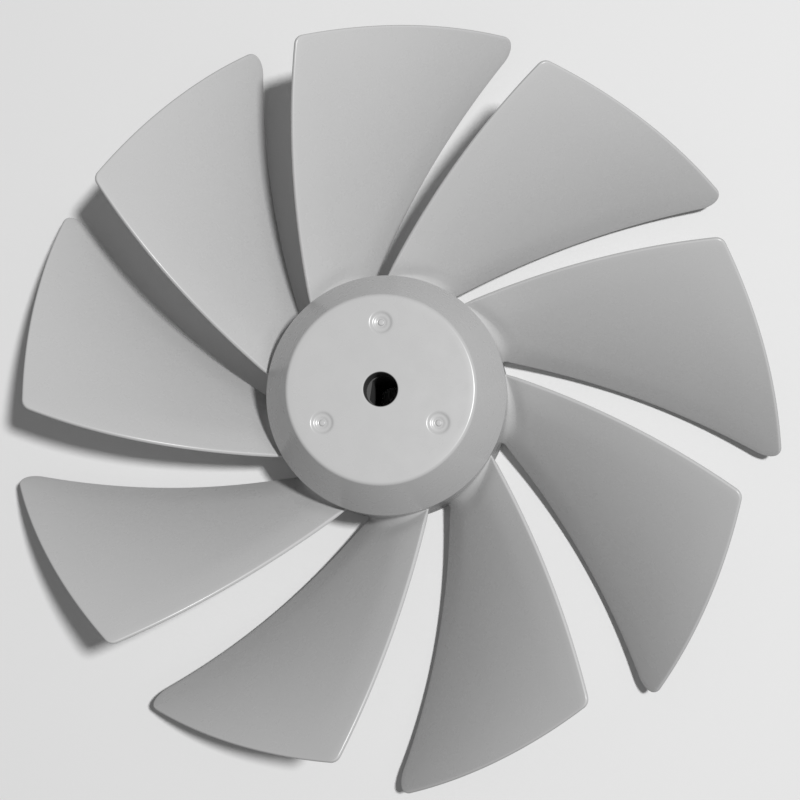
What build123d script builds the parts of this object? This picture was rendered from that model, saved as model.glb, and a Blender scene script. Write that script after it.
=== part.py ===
"""Axial fan impeller, moulded in one piece.

The hub is a cup with a flat face, a conical crown and a nearly straight skirt. A boss in its middle carries
the shaft bore, and ribs behind the face tie the boss to the skirt. Nine twisted, cambered blades grow out
of the skirt through soft root fillets.

Frame: millimetres, +Z along the shaft towards the hub's face, with the origin at the mouth of the bore.
"""

import os
from math import cos, radians, sin, sqrt

from build123d import *

# Hub cup
face_radius = 22.4
rim_radius = 29.3
skirt_back_radius = 29.9
crown_height = 14.8
hub_depth = 40.0
wall = 2.2
face_edge_round = 0.7

# Boss, bore and ribs
mouth_radius = 4.0
mouth_length = 8.0
shaft_radius = 3.75
flat_distance = 3.0
flat_azimuth = 172.0
boss_radius = 8.0
boss_recess = 3.0
rib_count = 6
rib_thickness = 1.6
rib_recess = 8.0
rib_azimuth = 30.0

# Gate marks in the face: shallow dimples, each with a small nub left by the gate
gate_count = 3
gate_circle_radius = 15.8
gate_azimuth = 90.0
gate_radius = 2.7
gate_floor_radius = 2.3
gate_depth = 0.4
nub_radius = 0.8
nub_height = 0.3

# Blades: heights count up from the hub's face at zero, rises count up from the hub's back plane
blade_count = 9
front_corner_radius = 86.6
back_corner_radius = 100.0
tip_bulge = 1.0
front_root_azimuth = 131.3
front_middle_azimuth = 112.7
front_tip_azimuth = 104.1
back_root_azimuth = 100.8
back_middle_azimuth = 80.3
back_tip_azimuth = 70.6
front_root_drop = 4.1
front_middle_height = -5.3
front_tip_height = 2.7
back_root_rise = 6.0
back_middle_rise = 2.4
back_tip_rise = 4.7
camber_ratio = 0.07
root_thickness = 2.4
tip_thickness = 1.4
front_corner_round = 2.6
back_corner_round = 4.6
root_fillet = 3.0
span_stations = 5

# The trimming of the blades: how far each blade runs into the hub and past its tip before it is cut, and
# how the sides of the trimming outline stay clear of the edges below the rounded corners
root_overrun = 4.0
tip_overrun = 9.0
margin = 6.0
side_clearance_angle = 5.0
side_length = 15.0
far_azimuth = 20.0


def polar(radius, azimuth, height=0.0):
    """The point at a radius, an azimuth in degrees and a height."""
    return Vector(radius * cos(radians(azimuth)), radius * sin(radians(azimuth)), height)


def along(root, middle, tip, share):
    """A point of the smooth edge through three points, at a share of the way from root to tip."""
    return (
        root * ((2 * share - 1) * (share - 1))
        + middle * (4 * share * (1 - share))
        + tip * (share * (2 * share - 1))
    )


def tip_direction(root, middle, tip):
    """The direction in which such an edge reaches its tip, seen from the front."""
    slope = root - middle * 4 + tip * 3
    return Vector(slope.X, slope.Y, 0).normalized()


front_root = polar(rim_radius, front_root_azimuth, -crown_height - front_root_drop)
front_middle = polar((rim_radius + front_corner_radius) / 2, front_middle_azimuth, front_middle_height)
front_tip = polar(front_corner_radius, front_tip_azimuth, front_tip_height)
back_root = polar(rim_radius, back_root_azimuth, -hub_depth + back_root_rise)
back_middle = polar((rim_radius + back_corner_radius) / 2, back_middle_azimuth, -hub_depth + back_middle_rise)
back_tip = polar(back_corner_radius, back_tip_azimuth, -hub_depth + back_tip_rise)
blade_span = (front_corner_radius + back_corner_radius) / 2 - rim_radius


def fillet_reach(distance):
    """How far the root fillet stands out of the blade at a distance from the skirt."""
    left = root_fillet - min(max(distance, 0), root_fillet)
    return root_fillet - sqrt(root_fillet**2 - left**2)


def blade_plane(share):
    """The plane square to the span at a share of it, with X along the chord, and the chord's length."""
    front = along(front_root, front_middle, front_tip, share)
    back = along(back_root, back_middle, back_tip, share)
    chord = back - front
    outward = Vector(front.X + back.X, front.Y + back.Y, 0).normalized()
    across = chord.normalized()
    return Plane(origin=front, x_dir=chord, z_dir=outward - across * outward.dot(across)), chord.length


# Distances of the sections from the skirt: inside the hub, through the root fillet, then along the span
stations = [-root_overrun, 0, 0.3 * root_fillet, root_fillet]
stations += [blade_span * step / (span_stations - 1) for step in range(1, span_stations - 1)]
stations += [blade_span, blade_span + tip_overrun]

# One blade: lofted cambered sections, trimmed to the outline seen from the front
with BuildPart() as blade:
    for distance in stations:
        share = distance / blade_span
        plane, chord_length = blade_plane(share)
        reach = fillet_reach(distance)
        half_blade = (root_thickness + (tip_thickness - root_thickness) * share) / 2
        half = half_blade + reach
        camber = camber_ratio * chord_length
        # The square ends sit back by half the thickness, so that their corners reach the edge lines
        start, middle, end = half_blade - reach, chord_length / 2, chord_length - half_blade + reach
        with BuildSketch(plane):
            with BuildLine():
                front_side = ThreePointArc((start, -half), (middle, camber - half), (end, -half))
                back_side = ThreePointArc((start, half), (middle, camber + half), (end, half))
                Line(front_side @ 0, back_side @ 0)
                Line(front_side @ 1, back_side @ 1)
            make_face()
    loft(ruled=True)
    with BuildSketch(Plane.XY.offset(-hub_depth - margin)) as planform:
        with BuildLine():
            tip_middle_radius = (front_corner_radius + back_corner_radius) / 2 + tip_bulge
            front_corner = polar(front_corner_radius, front_tip_azimuth)
            back_corner = polar(back_corner_radius, back_tip_azimuth)
            tip_middle = polar(tip_middle_radius, (front_tip_azimuth + back_tip_azimuth) / 2)
            ThreePointArc(front_corner, tip_middle, back_corner)
            front_beside = front_corner - tip_direction(front_root, front_middle, front_tip).rotate(
                Axis.Z, -side_clearance_angle
            ) * side_length
            back_beside = back_corner - tip_direction(back_root, back_middle, back_tip).rotate(
                Axis.Z, side_clearance_angle
            ) * side_length
            front_far = polar(rim_radius, front_root_azimuth + far_azimuth)
            back_far = polar(rim_radius, back_root_azimuth - far_azimuth)
            Polyline(front_corner, front_beside, front_far, (0, 0, 0), back_far, back_beside, back_corner)
        make_face()
        front_vertex = planform.vertices().sort_by_distance(front_corner)[0]
        fillet(front_vertex, front_corner_round)
        back_vertex = planform.vertices().sort_by_distance(back_corner)[0]
        fillet(back_vertex, back_corner_round)
    extrude(amount=hub_depth + 2 * margin, mode=Mode.INTERSECT)


# The space inside the hub: what it leaves is the boss and the ribs
boss_end = -hub_depth + boss_recess
with BuildPart() as cavity:
    with BuildSketch(Plane.XZ):
        with BuildLine():
            Polyline(
                (face_radius - wall / 2, -wall),
                (rim_radius - wall, -crown_height),
                (skirt_back_radius - wall, -hub_depth),
                (0, -hub_depth),
                (0, boss_end),
                (boss_radius, boss_end),
                (boss_radius, -wall),
                close=True,
            )
        make_face()
    revolve(axis=Axis.Z)
    with BuildSketch(Plane.XY.offset(-hub_depth + rib_recess)):
        with PolarLocations(0, rib_count, start_angle=rib_azimuth):
            Rectangle(skirt_back_radius, rib_thickness, align=(Align.MIN, Align.CENTER))
    extrude(amount=hub_depth, mode=Mode.SUBTRACT)


# The whole impeller
with BuildPart() as impeller:
    # Hub body, still solid inside
    with BuildSketch(Plane.XZ):
        with BuildLine():
            Polyline(
                (0, -hub_depth),
                (0, 0),
                (face_radius, 0),
                (rim_radius, -crown_height),
                (skirt_back_radius, -hub_depth),
                close=True,
            )
        make_face()
    revolve(axis=Axis.Z)

    # Soft edge between the face and the crown
    fillet(impeller.edges().filter_by(GeomType.CIRCLE).group_by(Axis.Z)[-1], face_edge_round)

    with PolarLocations(0, blade_count):
        add(blade.part)
    add(cavity.part, mode=Mode.SUBTRACT)

    # Bore: a round mouth, then a slightly tighter hole with a flat, down to the end of the boss
    with BuildSketch():
        Circle(mouth_radius)
    extrude(amount=-mouth_length, mode=Mode.SUBTRACT)
    with BuildSketch(Plane.XY.offset(-mouth_length)):
        Circle(shaft_radius)
        with PolarLocations(flat_distance, 1, start_angle=flat_azimuth):
            Rectangle(shaft_radius, 2 * shaft_radius, align=(Align.MIN, Align.CENTER), mode=Mode.SUBTRACT)
    extrude(amount=-hub_depth, mode=Mode.SUBTRACT)

    # Gate marks in the face
    with PolarLocations(gate_circle_radius, gate_count, start_angle=gate_azimuth):
        Cone(
            gate_floor_radius,
            gate_radius,
            gate_depth,
            align=(Align.CENTER, Align.CENTER, Align.MAX),
            mode=Mode.SUBTRACT,
        )
    with Locations((0, 0, -gate_depth)):
        with PolarLocations(gate_circle_radius, gate_count, start_angle=gate_azimuth):
            Cylinder(nub_radius, nub_height, align=(Align.CENTER, Align.CENTER, Align.MIN))

impeller.part.label = "impeller"
os.makedirs("parts", exist_ok=True)
export_step(impeller.part, "parts/impeller.step")
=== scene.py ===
"""The look of the axial fan impeller: one satin grey moulding, front up on a pale floor.

The CAD node is replaced by a finer moulding in the same frame. The hub is turned up ring by ring from a circle.
One blade is shaped from two grids and copied round the hub. The blades are straighter across than in the CAD,
which is a reading of the photo's shading.
"""

from math import cos, pi, radians, sin, sqrt, tan

import bmesh
import bpy
from mathutils import Matrix, Vector


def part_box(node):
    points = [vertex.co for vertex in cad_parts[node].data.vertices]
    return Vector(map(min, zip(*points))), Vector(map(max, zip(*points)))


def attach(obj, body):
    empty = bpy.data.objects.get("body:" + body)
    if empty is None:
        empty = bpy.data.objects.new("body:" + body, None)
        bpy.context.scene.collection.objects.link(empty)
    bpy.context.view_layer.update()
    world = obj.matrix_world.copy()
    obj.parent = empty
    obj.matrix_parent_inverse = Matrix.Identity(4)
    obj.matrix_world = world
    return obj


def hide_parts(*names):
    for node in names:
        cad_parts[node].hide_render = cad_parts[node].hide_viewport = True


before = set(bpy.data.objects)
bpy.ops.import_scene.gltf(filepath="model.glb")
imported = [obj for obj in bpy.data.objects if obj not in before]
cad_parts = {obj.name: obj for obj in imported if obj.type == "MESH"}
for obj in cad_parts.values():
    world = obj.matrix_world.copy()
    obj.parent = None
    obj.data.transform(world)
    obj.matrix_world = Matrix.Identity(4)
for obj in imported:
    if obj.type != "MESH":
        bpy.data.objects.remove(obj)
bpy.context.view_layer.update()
node_low, node_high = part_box("impeller")

mm = 0.001

# Hub, as in the CAD
face_radius = 22.4 * mm
rim_radius = 29.3 * mm
skirt_back_radius = 29.9 * mm
crown_height = 14.8 * mm
hub_depth = -node_low.z
wall = 2.2 * mm

# Boss, bore and ribs
mouth_radius = 4.0 * mm
mouth_length = 8.0 * mm
shaft_radius = 3.75 * mm
flat_distance = 3.0 * mm
flat_azimuth = radians(172)
boss_radius = 8.0 * mm
boss_recess = 3.0 * mm
rib_count = 6
rib_thickness = 1.6 * mm
rib_recess = 8.0 * mm
rib_azimuth = radians(30)
rib_edge_round = 0.4 * rib_thickness
rib_edge_steps = 4
rib_into_boss = wall / 4
rib_short_of_skirt = 1.5 * wall

# Gate marks: a shallow dimple, a slightly deeper ring in its floor, and a small nub in the middle
gate_count = 3
gate_circle_radius = 15.8 * mm
gate_azimuth = radians(90)
gate_radius = 2.7 * mm
gate_floor_radius = 2.1 * mm
gate_depth = 0.4 * mm
ring_radius = 1.5 * mm
ring_depth = 0.3 * mm
nub_radius = 0.8 * mm
nub_height = 0.15 * mm
nub_taper = 0.85

# Blades: placed as in the CAD, but almost straight across, with flatter tips and slightly shorter back corners
blade_count = 9
front_corner_radius = 86.6 * mm
back_corner_radius = 99.1 * mm
tip_bulge = -1.6 * mm
front_azimuths = radians(131.3), radians(112.7), radians(104.1)
back_azimuths = radians(100.8), radians(80.3), radians(70.6)
front_heights = -crown_height - 4.1 * mm, -5.3 * mm, 2.7 * mm
back_heights = -hub_depth + 6.0 * mm, -hub_depth + 2.4 * mm, -hub_depth + 4.7 * mm
camber_ratio = -0.01
root_thickness = 2.4 * mm
tip_thickness = 1.4 * mm
front_corner_round = 2.4 * mm
back_corner_round = 4.0 * mm
root_fillet = 3.0 * mm

# Two blades that are bent a little: the turn of the tip, and about how far its front corner droops
bent_blades = {1: (radians(-0.2), 4.0 * mm), 2: (radians(-1.6), 6.5 * mm)}

# Finer than in the CAD: the blades thin towards their outline, and the fillet along the root grows from
# almost nothing at the front edge to its full size past the middle of the blade
edge_thickness = 1.1 * mm
edge_taper = 9.0 * mm
edge_setback = 0.4 * mm
fillet_front = 0.3 * mm
fillet_back = 1.4 * mm
fillet_peak = 0.68

# Soft edges of the moulding
face_edge_round = 1.0 * mm
rim_round = 0.5 * mm
edge_round = 0.4 * mm
mouth_edge_round = 0.25 * mm
mouth_border = 3 * mouth_edge_round
lip_round = 0.4 * mm
corner_fillet = 1.2 * mm
gate_lip_round = 1.0 * mm
ring_round = 1.5 * mm
nub_foot_round = 0.2 * mm
nub_top_round = 0.25 * mm
nub_foot_steps = 3

# Fineness of the mesh
hub_sides = 180
gate_sides = 40
arc_steps = 6
chord_steps = 36
edge_steps = 4
fillet_steps = 9
span_steps = 26
corner_steps = 10
merge_distance = 0.002 * mm
closing_margin = 1.01

# The search for where a blade meets the skirt and the arc of its tip, in shares of its span
search_step = 0.01
search_rounds = 6
search_limit = 1e-12
corner_probe = 0.05

# Finish of the plastic: each noise is scale, detail and roughness, and noises are read between the two limits
plastic_ior = 1.49
plastic_specular = 0.5
noise_limits = 0.3, 0.7
flow_clouds = 22, 3, 0.5
cloud_share = 0.5
# painted shade: how much lighter the blades are painted than the hub
blade_painted_light = 0.5
gloss_patches = 160, 4, 0.6
gloss_roughness = 0.24, 0.32
bore_extra_roughness = 0.4
bore_mask_radii = mouth_radius + 0.05 * mm, mouth_radius + 0.25 * mm
moulded_grain = 2600, 2, 0.6
grain_strength = 0.06
grain_height = 0.05 * mm
floor_roughness = 0.8
floor_size = 3

# Colours and light
# The plastic's two tones: the flow clouds vary between them, and the blades are painted nearer the light one
# than the hub, a painted shade
plastic_dark = (0.50, 0.50, 0.50)
plastic_light = (0.57, 0.57, 0.57)
bore_colour = (0.07, 0.07, 0.07)
floor_colour = (0.76, 0.76, 0.76)
floor_bounce_colour = (0.30, 0.30, 0.30)
room_colour = (1.0, 1.0, 1.0)
room_strength = 0.19
lamp_distance = 1.3

# The lamps: azimuth, elevation, size and power of each
lamps = {
    "key": (radians(12), radians(70.5), 0.12, 15.2),
}

# Camera, in the frame of the part
camera_place = Vector((33.87, -35.48, 389.53)) * mm
camera_back = Vector((0.0747, -0.0840, 0.9937))
camera_up = Vector((0.0, 0.9964, 0.0842))
lens = 75.4
sensor_width = 36
clip_near, clip_far = 0.01, 10

# How far a blade's root goes into the hub's wall, and the widest angle that still shades as smooth
root_overlap = 0.6 * mm
root_contact = 0.015 * mm
smooth_angle = radians(32)


def polar(radius, azimuth, height=0.0):
    """The point at a radius, an azimuth and a height."""
    return Vector((radius * cos(azimuth), radius * sin(azimuth), height))


def deselect_everything():
    """Nothing is selected, in object mode."""
    if bpy.context.object and bpy.context.object.mode != "OBJECT":
        bpy.ops.object.mode_set(mode="OBJECT")
    bpy.ops.object.select_all(action="DESELECT")


def edit_only(piece):
    """Opens one piece alone in edit mode."""
    deselect_everything()
    piece.select_set(True)
    bpy.context.view_layer.objects.active = piece
    bpy.ops.object.mode_set(mode="EDIT")


def select_vertices(piece, wanted):
    """In edit mode, selects the vertices that the test wants, and the edges and faces between them."""
    bpy.ops.mesh.select_mode(type="VERT")
    bpy.ops.mesh.select_all(action="DESELECT")
    shape = bmesh.from_edit_mesh(piece.data)
    for vertex in shape.verts:
        vertex.select = wanted(vertex)
    shape.select_flush(True)
    bmesh.update_edit_mesh(piece.data)


def join(pieces, name):
    """Joins pieces into the first one and names it."""
    deselect_everything()
    for piece in pieces:
        piece.select_set(True)
    bpy.context.view_layer.objects.active = pieces[0]
    bpy.ops.object.join()
    pieces[0].name = pieces[0].data.name = name
    return pieces[0]


def copy_round(piece, count):
    """Copies of a piece turned round the shaft in equal steps, each with its own mesh, with the piece first."""
    copies = [piece]
    for number in range(1, count):
        copy = piece.copy()
        copy.data = piece.data.copy()
        copy.data.transform(Matrix.Rotation(2 * pi * number / count, 4, "Z"))
        bpy.context.collection.objects.link(copy)
        copies.append(copy)
    return copies


def soften(start, corner, end, radius, steps=arc_steps):
    """Points of a round of a radius that takes the corner off two straight runs."""
    corner = Vector(corner)
    to_start = (Vector(start) - corner).normalized()
    to_end = (Vector(end) - corner).normalized()
    half = to_start.angle(to_end) / 2
    middle = (to_start + to_end).normalized()
    centre = corner + middle * radius / sin(half)
    first = corner + to_start * radius * cos(half) / sin(half) - centre
    last = corner + to_end * radius * cos(half) / sin(half) - centre
    points = []
    for step in range(steps + 1):
        share = step / steps
        spoke = first.lerp(last, share).normalized() * radius
        points.append(tuple(centre + spoke))
    return points


def turned_shell(name, profile, sides, centre=Vector()):
    """A shell turned up from a circle: each ring is extruded from the last and resized to the next point."""
    deselect_everything()
    radius, height = profile[0]
    bpy.ops.mesh.primitive_circle_add(
        vertices=sides, radius=radius, location=centre + Vector((0, 0, height)), fill_type="NOTHING"
    )
    shell = bpy.context.object
    shell.name = shell.data.name = name
    bpy.ops.object.transform_apply(location=True, rotation=True, scale=True)
    bpy.ops.object.mode_set(mode="EDIT")
    bpy.ops.mesh.select_all(action="SELECT")
    for next_radius, next_height in profile[1:]:
        bpy.ops.mesh.extrude_region_move(TRANSFORM_OT_translate={"value": (0, 0, next_height - height)})
        size = next_radius / radius
        bpy.ops.transform.resize(value=(size, size, 1), center_override=centre)
        radius, height = next_radius, next_height
    bpy.ops.object.mode_set(mode="OBJECT")
    return shell


def hub_profile():
    """The hub's outline as radius and height: from the face, over the crown, into the cup and up the bore."""
    back = -hub_depth
    boss_end = back + boss_recess
    face_rim = (face_radius, 0)
    rim = (rim_radius, -crown_height)
    skirt_back = (skirt_back_radius, back)
    inner_back = (skirt_back_radius - wall, back)
    inner_rim = (rim_radius - wall, -crown_height)
    inner_face = (face_radius - wall / 2, -wall)
    boss_top = (boss_radius, -wall)
    boss_back = (boss_radius, boss_end)
    bore_back = (shaft_radius, boss_end)
    support = 2 * face_edge_round

    profile = [(face_radius - support, 0)]
    profile += soften((0, 0), face_rim, rim, face_edge_round)
    profile += soften(face_rim, rim, skirt_back, rim_round)
    profile += soften(rim, skirt_back, inner_back, lip_round)
    profile += soften(skirt_back, inner_back, inner_rim, lip_round)
    profile += [inner_rim]
    profile += soften(inner_rim, inner_face, boss_top, corner_fillet)
    profile += soften(inner_face, boss_top, boss_back, corner_fillet)
    profile += soften(boss_top, boss_back, bore_back, lip_round)
    profile += [bore_back, (shaft_radius, -mouth_length), (mouth_radius, -mouth_length)]
    profile += soften((mouth_radius, -mouth_length), (mouth_radius, 0), (face_radius, 0), mouth_edge_round)
    profile += [(mouth_radius + mouth_border, 0)]
    return profile


def flatten_bore(hub):
    """Presses the tighter part of the bore flat on one side."""
    away = polar(1, flat_azimuth)
    limit = shaft_radius + (mouth_radius - shaft_radius) / 2

    def beyond_flat(vertex):
        inside = Vector(vertex.co.xy).length < limit and vertex.co.z < -mouth_length / 2
        return inside and vertex.co.dot(away) > flat_distance

    edit_only(hub)
    select_vertices(hub, beyond_flat)
    shape = bmesh.from_edit_mesh(hub.data)
    for vertex in shape.verts:
        if vertex.select:
            vertex.co -= away * (vertex.co.dot(away) - flat_distance)
    bmesh.update_edit_mesh(hub.data)
    bpy.ops.object.mode_set(mode="OBJECT")


def gate_mark():
    """One shallow dimple with a deeper ring in its floor and the nub that the gate left in its middle."""
    outside = (gate_radius + gate_lip_round, 0)
    rim = (gate_radius, 0)
    floor_edge = (gate_floor_radius, -gate_depth)
    ring_edge = (ring_radius, -gate_depth)
    nub_foot = (nub_radius, -gate_depth - ring_depth)
    nub_top = (nub_radius * nub_taper, -gate_depth + nub_height)
    profile = [outside]
    profile += soften(outside, rim, floor_edge, gate_lip_round)
    profile += soften(rim, floor_edge, ring_edge, gate_lip_round)
    profile += soften(floor_edge, ring_edge, nub_foot, ring_round)
    profile += soften(ring_edge, nub_foot, nub_top, nub_foot_round, nub_foot_steps)
    profile += soften(nub_foot, nub_top, (0, nub_top[1]), nub_top_round)
    centre = polar(gate_circle_radius, gate_azimuth)
    mark = turned_shell("gate_mark", profile, gate_sides, centre)
    innermost = profile[-1][0] * closing_margin
    edit_only(mark)
    select_vertices(mark, lambda vertex: (vertex.co - centre).xy.length < innermost)
    bpy.ops.mesh.edge_face_add()
    bpy.ops.object.mode_set(mode="OBJECT")
    return mark


def rib():
    """One rib between the boss and the skirt, cut back under the crown, with a soft free edge."""
    start = boss_radius - rib_into_boss
    end = skirt_back_radius - rib_short_of_skirt
    top = -wall / 2
    bottom = -hub_depth + rib_recess
    deselect_everything()
    bpy.ops.mesh.primitive_cube_add(
        size=1,
        location=((start + end) / 2, 0, (top + bottom) / 2),
        scale=(end - start, rib_thickness, top - bottom),
    )
    piece = bpy.context.object
    piece.name = piece.data.name = "rib"
    bpy.ops.object.transform_apply(location=True, rotation=True, scale=True)
    edit_only(piece)
    select_vertices(piece, lambda vertex: vertex.co.z < (top + bottom) / 2)
    bpy.ops.mesh.region_to_loop()
    bpy.ops.mesh.bevel(offset=rib_edge_round, segments=rib_edge_steps, affect="EDGES")

    # The rib's outer end follows the inside of the crown
    bpy.ops.mesh.select_all(action="SELECT")
    bpy.ops.mesh.bisect(plane_co=(0, 0, -crown_height), plane_no=(0, 0, 1))
    select_vertices(piece, lambda vertex: vertex.co.z > -wall and vertex.co.x > (start + end) / 2)
    bpy.ops.transform.translate(value=(face_radius - wall - end, 0, 0))
    bpy.ops.object.mode_set(mode="OBJECT")
    piece.data.transform(Matrix.Rotation(rib_azimuth, 4, "Z"))
    return piece


def make_hub():
    """The hub with its bore, gate marks and ribs."""
    hub = turned_shell("hub", hub_profile(), hub_sides)
    flatten_bore(hub)
    hub = join([hub] + copy_round(gate_mark(), gate_count), "hub")

    # The flat face is filled between the rings that are still open
    edit_only(hub)
    bpy.ops.mesh.select_mode(type="EDGE")
    bpy.ops.mesh.select_all(action="DESELECT")
    bpy.ops.mesh.select_non_manifold()
    bpy.ops.mesh.fill(use_beauty=True)
    bpy.ops.mesh.select_all(action="SELECT")
    bpy.ops.mesh.normals_make_consistent(inside=False)
    bpy.ops.object.mode_set(mode="OBJECT")
    return join([hub] + copy_round(rib(), rib_count), "hub")


def along(root, middle, tip, share):
    """A point of the smooth edge through three points, at a share of the way from root to tip."""
    return (
        root * ((2 * share - 1) * (share - 1))
        + middle * (4 * share * (1 - share))
        + tip * (share * (2 * share - 1))
    )


def edge_points(azimuths, heights, tip_radius):
    """The root, middle and tip of a blade's edge."""
    radii = rim_radius, (rim_radius + tip_radius) / 2, tip_radius
    return [polar(*place) for place in zip(radii, azimuths, heights)]


front_edge = edge_points(front_azimuths, front_heights, front_corner_radius)
back_edge = edge_points(back_azimuths, back_heights, back_corner_radius)
blade_span = (front_corner_radius + back_corner_radius) / 2 - rim_radius


def circle_through(first, second, third):
    """The centre and radius of the circle through three points seen from the front."""
    first, second, third = first.xy, second.xy, third.xy
    to_second, to_third = second - first, third - first
    double = 2 * (to_second.x * to_third.y - to_second.y * to_third.x)
    centre = Vector((
        to_third.y * to_second.length_squared - to_second.y * to_third.length_squared,
        to_second.x * to_third.length_squared - to_third.x * to_second.length_squared,
    )) / double
    return first + centre, centre.length


tip_middle = polar(
    (front_corner_radius + back_corner_radius) / 2 + tip_bulge, (front_azimuths[2] + back_azimuths[2]) / 2
)
tip_centre, tip_radius = circle_through(front_edge[2], tip_middle, back_edge[2])


def chord_length(share):
    """The blade's width from edge to edge at a share of its span."""
    return (along(*back_edge, share) - along(*front_edge, share)).length


def middle_point(share, across):
    """A point midway through the blade's thickness, at a share of the span and of the chord."""
    front, back = along(*front_edge, share), along(*back_edge, share)
    chord = back - front
    along_chord = chord.normalized()
    outward = Vector((front.x + back.x, front.y + back.y, 0)).normalized()
    span_way = (outward - along_chord * outward.dot(along_chord)).normalized()
    deeper = span_way.cross(along_chord)
    return front + chord * across + deeper * camber_ratio * chord.length * 4 * across * (1 - across)


def solve_share(measure, across, guess):
    """The share of the span at which a measure of the middle point comes to zero."""
    first, second = guess, guess + search_step
    value_first, value_second = measure(middle_point(first, across)), measure(middle_point(second, across))
    for _ in range(search_rounds):
        if abs(value_second - value_first) < search_limit:
            break
        first, second = second, second - value_second * (second - first) / (value_second - value_first)
        value_first, value_second = value_second, measure(middle_point(second, across))
    return second


def skirt_radius(height):
    """The outside radius of the skirt at a height."""
    drop = (-crown_height - height) / (hub_depth - crown_height)
    return rim_radius + (skirt_back_radius - rim_radius) * drop


def root_share(across):
    """Where the blade's middle comes out of the skirt."""
    return solve_share(lambda point: point.xy.length - skirt_radius(point.z), across, 0.0)


def tip_share(across):
    """Where the blade's middle reaches the arc of the tip."""
    return solve_share(lambda point: (point.xy - tip_centre).length - tip_radius, across, 1.0)


def half_thickness(share, inside):
    """Half the blade's thickness at a share of its span, and at a distance inside its outline."""
    full = (root_thickness + (tip_thickness - root_thickness) * min(max(share, 0), 1)) / 2
    edge = edge_thickness / 2
    return edge + (full - edge) * sin(pi / 2 * min(inside / edge_taper, 1))


def corner_angle(side):
    """The angle of the tip's corner at the front edge, side 0, or the back edge, side 1."""
    beside = abs(side - corner_probe)
    corner = middle_point(tip_share(side), side)
    along_edge = middle_point(tip_share(side) - corner_probe, side) - corner
    along_tip = middle_point(tip_share(beside), beside) - corner
    return along_edge.angle(along_tip)


def corner_inset(distance, radius, angle):
    """How far a rounded corner has come in from an edge, at a distance from the tip."""
    if distance >= radius / tan(angle / 2):
        return 0
    centre = radius / sin(angle)
    away = distance - centre
    return centre - away * cos(angle) - sqrt(max(radius**2 - (away * sin(angle)) ** 2, 0))


def fillet_radius(across):
    """The radius of the root fillet at a share of the chord."""
    if across < fillet_peak:
        end, share = fillet_front, across / fillet_peak
    else:
        end, share = fillet_back, (1 - across) / (1 - fillet_peak)
    return end + (root_fillet - end) * sin(pi / 2 * share)


# The rounded outline of a blade is drawn this far inside its tip, and its rows count from the root
outline_reach = blade_span - edge_round
front_corner = front_corner_round - edge_round, corner_angle(0)
back_corner = back_corner_round - edge_round, corner_angle(1)
corner_reach = back_corner[0] / tan(back_corner[1] / 2)
last_row = 1 + fillet_steps + span_steps + corner_steps


def row_place(row, across):
    """The distance of a row from the skirt at a share of the chord, and how far the fillet stands out there."""
    fillet = fillet_radius(across)
    if row == 0:
        return -root_overlap, fillet
    row -= 1
    if row <= fillet_steps:
        angle = pi / 2 * row / fillet_steps
        return fillet * (1 - cos(angle)) - root_contact, fillet * (1 - sin(angle))
    row -= fillet_steps
    if row < span_steps:
        run = outline_reach - corner_reach - fillet
        return fillet + run * row / span_steps, 0
    angle = pi / 2 * (row - span_steps) / corner_steps
    return outline_reach - corner_reach * (1 - sin(angle)), 0


def edge_section(half):
    """The section of a blade's edge as ways out and up, from its front side round to its back side."""
    front = []
    for step in range(edge_steps + 1):
        angle = pi / 2 * (1 - step / edge_steps)
        front.append((edge_round * cos(angle), half - edge_round * (1 - sin(angle))))
    return front + [(out, -up) for out, up in reversed(front)]


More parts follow.
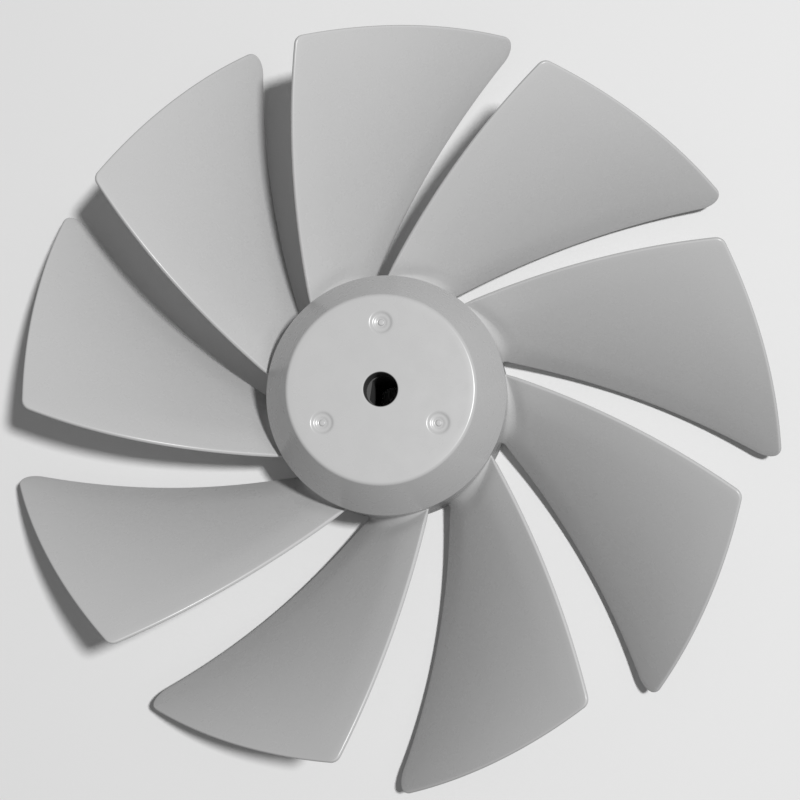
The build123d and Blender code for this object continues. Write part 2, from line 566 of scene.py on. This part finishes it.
class BladeSheet:
    """The sheet midway through the blade, inside its rounded outline: rows from root to tip, points from
    the front edge to the back edge."""

    def __init__(self):
        self.points = [self.row_points(row) for row in range(last_row + 1)]
        self.outline = (
            [row[0] for row in self.points] + self.points[-1][1:-1] + [row[-1] for row in reversed(self.points)]
        )

    @staticmethod
    def row_points(row):
        """The points of one row."""
        points = []
        for step in range(chord_steps + 1):
            across = step / chord_steps
            distance, reach = row_place(row, across)
            way = distance / outline_reach
            left = outline_reach - distance
            inset = edge_setback + edge_round
            front_inset = inset + corner_inset(left, *front_corner)
            back_inset = inset + corner_inset(left, *back_corner)
            width = chord_length(BladeSheet.share_at(way, across))
            across = (front_inset + (width - front_inset - back_inset) * across) / width
            points.append(middle_point(BladeSheet.share_at(way, across), across))
        return points

    @staticmethod
    def share_at(way, across):
        """The share of the span at a way from the skirt, 0, to the inside of the rounded tip, 1."""
        root, tip = root_share(across), tip_share(across) - edge_round / blade_span
        return root + (tip - root) * way

    def normal(self, row, column):
        """The way out of the front side."""
        above = self.points[min(row + 1, last_row)][column]
        below = self.points[max(row - 1, 0)][column]
        before = self.points[row][max(column - 1, 0)]
        after = self.points[row][min(column + 1, chord_steps)]
        return (after - before).cross(above - below).normalized()

    def outward(self, row, column):
        """The way out of the outline at a point on it, along the sheet."""
        place = last_row + column
        if column == 0:
            place = row
        elif column == chord_steps:
            place = 2 * last_row + chord_steps - row
        before = self.outline[max(place - 1, 0)]
        after = self.outline[min(place + 1, len(self.outline) - 1)]
        return (after - before).cross(self.normal(row, column)).normalized() * -1

    def half(self, row, column):
        """Half the blade's thickness at a point of the sheet, with the root fillet."""
        point = self.points[row][column]
        distance, reach = row_place(row, column / chord_steps)
        inside = min(
            (point - self.points[row][0]).length,
            (point - self.points[row][-1]).length,
            (point - self.points[last_row][column]).length,
        )
        return half_thickness(distance / blade_span, inside) + reach

    def skin_point(self, row, column, out, up):
        """A point of the blade's skin, out of the outline and up from the sheet."""
        distance, reach = row_place(row, column / chord_steps)
        point = self.points[row][column] + self.normal(row, column) * up
        if out:
            point += self.outward(row, column) * out
        if distance <= fillet_radius(column / chord_steps):
            scale = (skirt_radius(point.z) + distance) / point.xy.length
            point = Vector((point.x * scale, point.y * scale, point.z))
        return point

    def edge_point(self, row, column, step):
        """A point of the rounded edge, at a step from the front side round to the back side."""
        out, up = edge_section(self.half(row, column))[step]
        return self.skin_point(row, column, out, up)


def shaped_grid(name, columns, rows, place):
    """A grid with each of its points moved to its place."""
    deselect_everything()
    bpy.ops.mesh.primitive_grid_add(x_subdivisions=columns, y_subdivisions=rows, size=2)
    grid = bpy.context.object
    grid.name = grid.data.name = name
    for vertex in grid.data.vertices:
        column = round((vertex.co.x + 1) / 2 * columns)
        row = round((vertex.co.y + 1) / 2 * rows)
        vertex.co = place(column, row)
    return grid


def make_blade():
    """One blade: a skin wrapped round its section from root to tip, and a rounded cap over the tip."""
    sheet = BladeSheet()
    round_steps = 2 * edge_steps + 1
    wrap = 2 * (chord_steps + round_steps)

    def wrapped(column, row):
        column %= wrap
        if column <= chord_steps:
            return sheet.skin_point(row, column, 0, sheet.half(row, column))
        column -= chord_steps
        if column <= round_steps:
            return sheet.edge_point(row, chord_steps, column)
        column -= round_steps
        if column <= chord_steps:
            column = chord_steps - column
            return sheet.skin_point(row, column, 0, -sheet.half(row, column))
        return sheet.edge_point(row, 0, round_steps - (column - chord_steps))

    def capped(column, row):
        return sheet.edge_point(last_row, column, row)

    skin = shaped_grid("blade_skin", wrap, last_row, wrapped)
    cap = shaped_grid("blade_cap", chord_steps, round_steps, capped)
    blade = join([skin, cap], "blade")
    edit_only(blade)
    bpy.ops.mesh.select_all(action="SELECT")
    bpy.ops.mesh.remove_doubles(threshold=merge_distance)

    # The open end inside the hub's wall is closed
    bpy.ops.mesh.select_all(action="DESELECT")
    bpy.ops.mesh.select_mode(type="EDGE")
    bpy.ops.mesh.select_non_manifold()
    bpy.ops.mesh.edge_face_add()
    bpy.ops.mesh.select_all(action="SELECT")
    bpy.ops.mesh.normals_make_consistent(inside=False)
    bpy.ops.object.mode_set(mode="OBJECT")
    return blade


def bend_blade(blade, turn, droop):
    """Bends a blade more and more from its root to its tip, most at its raised front edge."""
    for vertex in blade.data.vertices:
        share = min(max((vertex.co.xy.length - rim_radius) / blade_span, 0), 1) ** 2
        lowered = droop * share * (1 + vertex.co.z / hub_depth)
        vertex.co = Matrix.Rotation(turn * share, 3, "Z") @ vertex.co - Vector((0, 0, lowered))


def colour_mix(tree, first, second, factor):
    """Two colours mixed by a factor. The first may also be another node's output."""
    mix = tree.nodes.new("ShaderNodeMix")
    mix.data_type = "RGBA"
    if isinstance(first, tuple):
        mix.inputs[6].default_value = (*first, 1)
    else:
        tree.links.new(first, mix.inputs[6])
    mix.inputs[7].default_value = (*second, 1)
    tree.links.new(factor, mix.inputs["Factor"])
    return mix.outputs[2]


def satin_grey_plastic():
    """Light grey moulded plastic: a satin skin with a fine moulded grain, faint flow clouds and soft scuffs."""
    material = bpy.data.materials.new("satin_grey_plastic")
    material.use_nodes = True
    nodes, links = material.node_tree.nodes, material.node_tree.links
    shader = nodes["Principled BSDF"]
    shader.inputs["IOR"].default_value = plastic_ior
    shader.inputs["Specular IOR Level"].default_value = plastic_specular
    place = nodes.new("ShaderNodeTexCoord")

    def noise(scale, detail, roughness):
        node = nodes.new("ShaderNodeTexNoise")
        node.inputs["Scale"].default_value = scale
        node.inputs["Detail"].default_value = detail
        node.inputs["Roughness"].default_value = roughness
        links.new(place.outputs["Object"], node.inputs["Vector"])
        return node

    def remap(source, limits, results):
        node = nodes.new("ShaderNodeMapRange")
        node.inputs["From Min"].default_value, node.inputs["From Max"].default_value = limits
        node.inputs["To Min"].default_value, node.inputs["To Max"].default_value = results
        links.new(source, node.inputs["Value"])
        return node.outputs["Result"]

    def scale_and_add(source, scale, added):
        node = nodes.new("ShaderNodeMath")
        node.operation = "MULTIPLY_ADD"
        node.inputs[1].default_value = scale
        links.new(source, node.inputs[0])
        links.new(added, node.inputs[2])
        return node.outputs["Value"]

    # The hub is painted a little darker than the blades, a painted shade that stands in for how the light falls
    # on the one plastic, and the bore is much darker
    level = nodes.new("ShaderNodeMapping")
    level.inputs["Scale"].default_value = (1, 1, 0)
    links.new(place.outputs["Object"], level.inputs["Vector"])
    radius = nodes.new("ShaderNodeVectorMath")
    radius.operation = "LENGTH"
    links.new(level.outputs["Vector"], radius.inputs[0])

    clouds = noise(*flow_clouds)
    painted_light_on_blades = remap(radius.outputs["Value"], (rim_radius, rim_radius + 2 * root_fillet), (0, blade_painted_light))
    lightness = scale_and_add(clouds.outputs["Fac"], cloud_share, painted_light_on_blades)
    tone = colour_mix(material.node_tree, plastic_dark, plastic_light, lightness)
    in_bore = remap(radius.outputs["Value"], bore_mask_radii, (1, 0))
    links.new(colour_mix(material.node_tree, tone, bore_colour, in_bore), shader.inputs["Base Color"])

    patches = noise(*gloss_patches)
    gloss = remap(patches.outputs["Fac"], noise_limits, gloss_roughness)
    links.new(scale_and_add(in_bore, bore_extra_roughness, gloss), shader.inputs["Roughness"])

    grain = noise(*moulded_grain)
    bump = nodes.new("ShaderNodeBump")
    bump.inputs["Strength"].default_value = grain_strength
    bump.inputs["Distance"].default_value = grain_height
    links.new(grain.outputs["Fac"], bump.inputs["Height"])
    links.new(bump.outputs["Normal"], shader.inputs["Normal"])
    return material


def make_floor():
    """A plain pale sheet that the impeller lies on."""
    deselect_everything()
    bpy.ops.mesh.primitive_plane_add(size=floor_size, location=(0, 0, node_low.z))
    floor = bpy.context.object
    floor.name = floor.data.name = "floor"
    bpy.ops.object.transform_apply(location=True, rotation=True, scale=True)
    material = bpy.data.materials.new("pale_floor")
    material.use_nodes = True
    nodes, links = material.node_tree.nodes, material.node_tree.links
    shader = nodes["Principled BSDF"]
    shader.inputs["Roughness"].default_value = floor_roughness

    # The camera sees the pale sheet, while less of its light is thrown back up between the blades
    rays = nodes.new("ShaderNodeLightPath")
    tone = colour_mix(material.node_tree, floor_bounce_colour, floor_colour, rays.outputs["Is Camera Ray"])
    links.new(tone, shader.inputs["Base Color"])
    floor.data.materials.append(material)


def make_camera():
    """The camera at the photo's viewing angle."""
    data = bpy.data.cameras.new("camera")
    data.sensor_width = sensor_width
    data.lens = lens
    camera = bpy.data.objects.new("camera", data)
    back = camera_back.normalized()
    right = camera_up.cross(back).normalized()
    up = back.cross(right)
    turn = Matrix((right, up, back)).transposed().to_4x4()
    camera.matrix_world = Matrix.Translation(camera_place) @ turn
    data.clip_start, data.clip_end = clip_near, clip_far
    bpy.context.collection.objects.link(camera)
    bpy.context.scene.camera = camera


def lamp(name, azimuth, elevation, size, power):
    """A round soft lamp that points at the hub."""
    data = bpy.data.lights.new(name, "AREA")
    data.shape = "DISK"
    data.size = size
    data.energy = power
    light = bpy.data.objects.new(name, data)
    light.location = polar(lamp_distance * cos(elevation), azimuth, lamp_distance * sin(elevation))
    light.rotation_mode = "QUATERNION"
    light.rotation_quaternion = light.location.to_track_quat("Z", "Y")
    bpy.context.collection.objects.link(light)


def make_world():
    """Even room light."""
    world = bpy.data.worlds.new("room")
    world.use_nodes = True
    sky = world.node_tree.nodes["Background"]
    sky.inputs["Color"].default_value = (*room_colour, 1)
    sky.inputs["Strength"].default_value = room_strength
    bpy.context.scene.world = world


hub = make_hub()
blades = copy_round(make_blade(), blade_count)
for number, (turn, droop) in bent_blades.items():
    bend_blade(blades[number], turn, droop)
impeller = join([hub] + blades, "impeller_moulding")
deselect_everything()
impeller.select_set(True)
bpy.context.view_layer.objects.active = impeller
bpy.ops.object.shade_smooth_by_angle(angle=smooth_angle)
impeller.data.materials.clear()
impeller.data.materials.append(satin_grey_plastic())
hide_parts("impeller")
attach(impeller, "root")

make_floor()
make_camera()
make_world()
for name, (azimuth, elevation, size, power) in lamps.items():
    lamp(name, azimuth, elevation, size, power)
bpy.context.scene.view_settings.view_transform = "Standard"
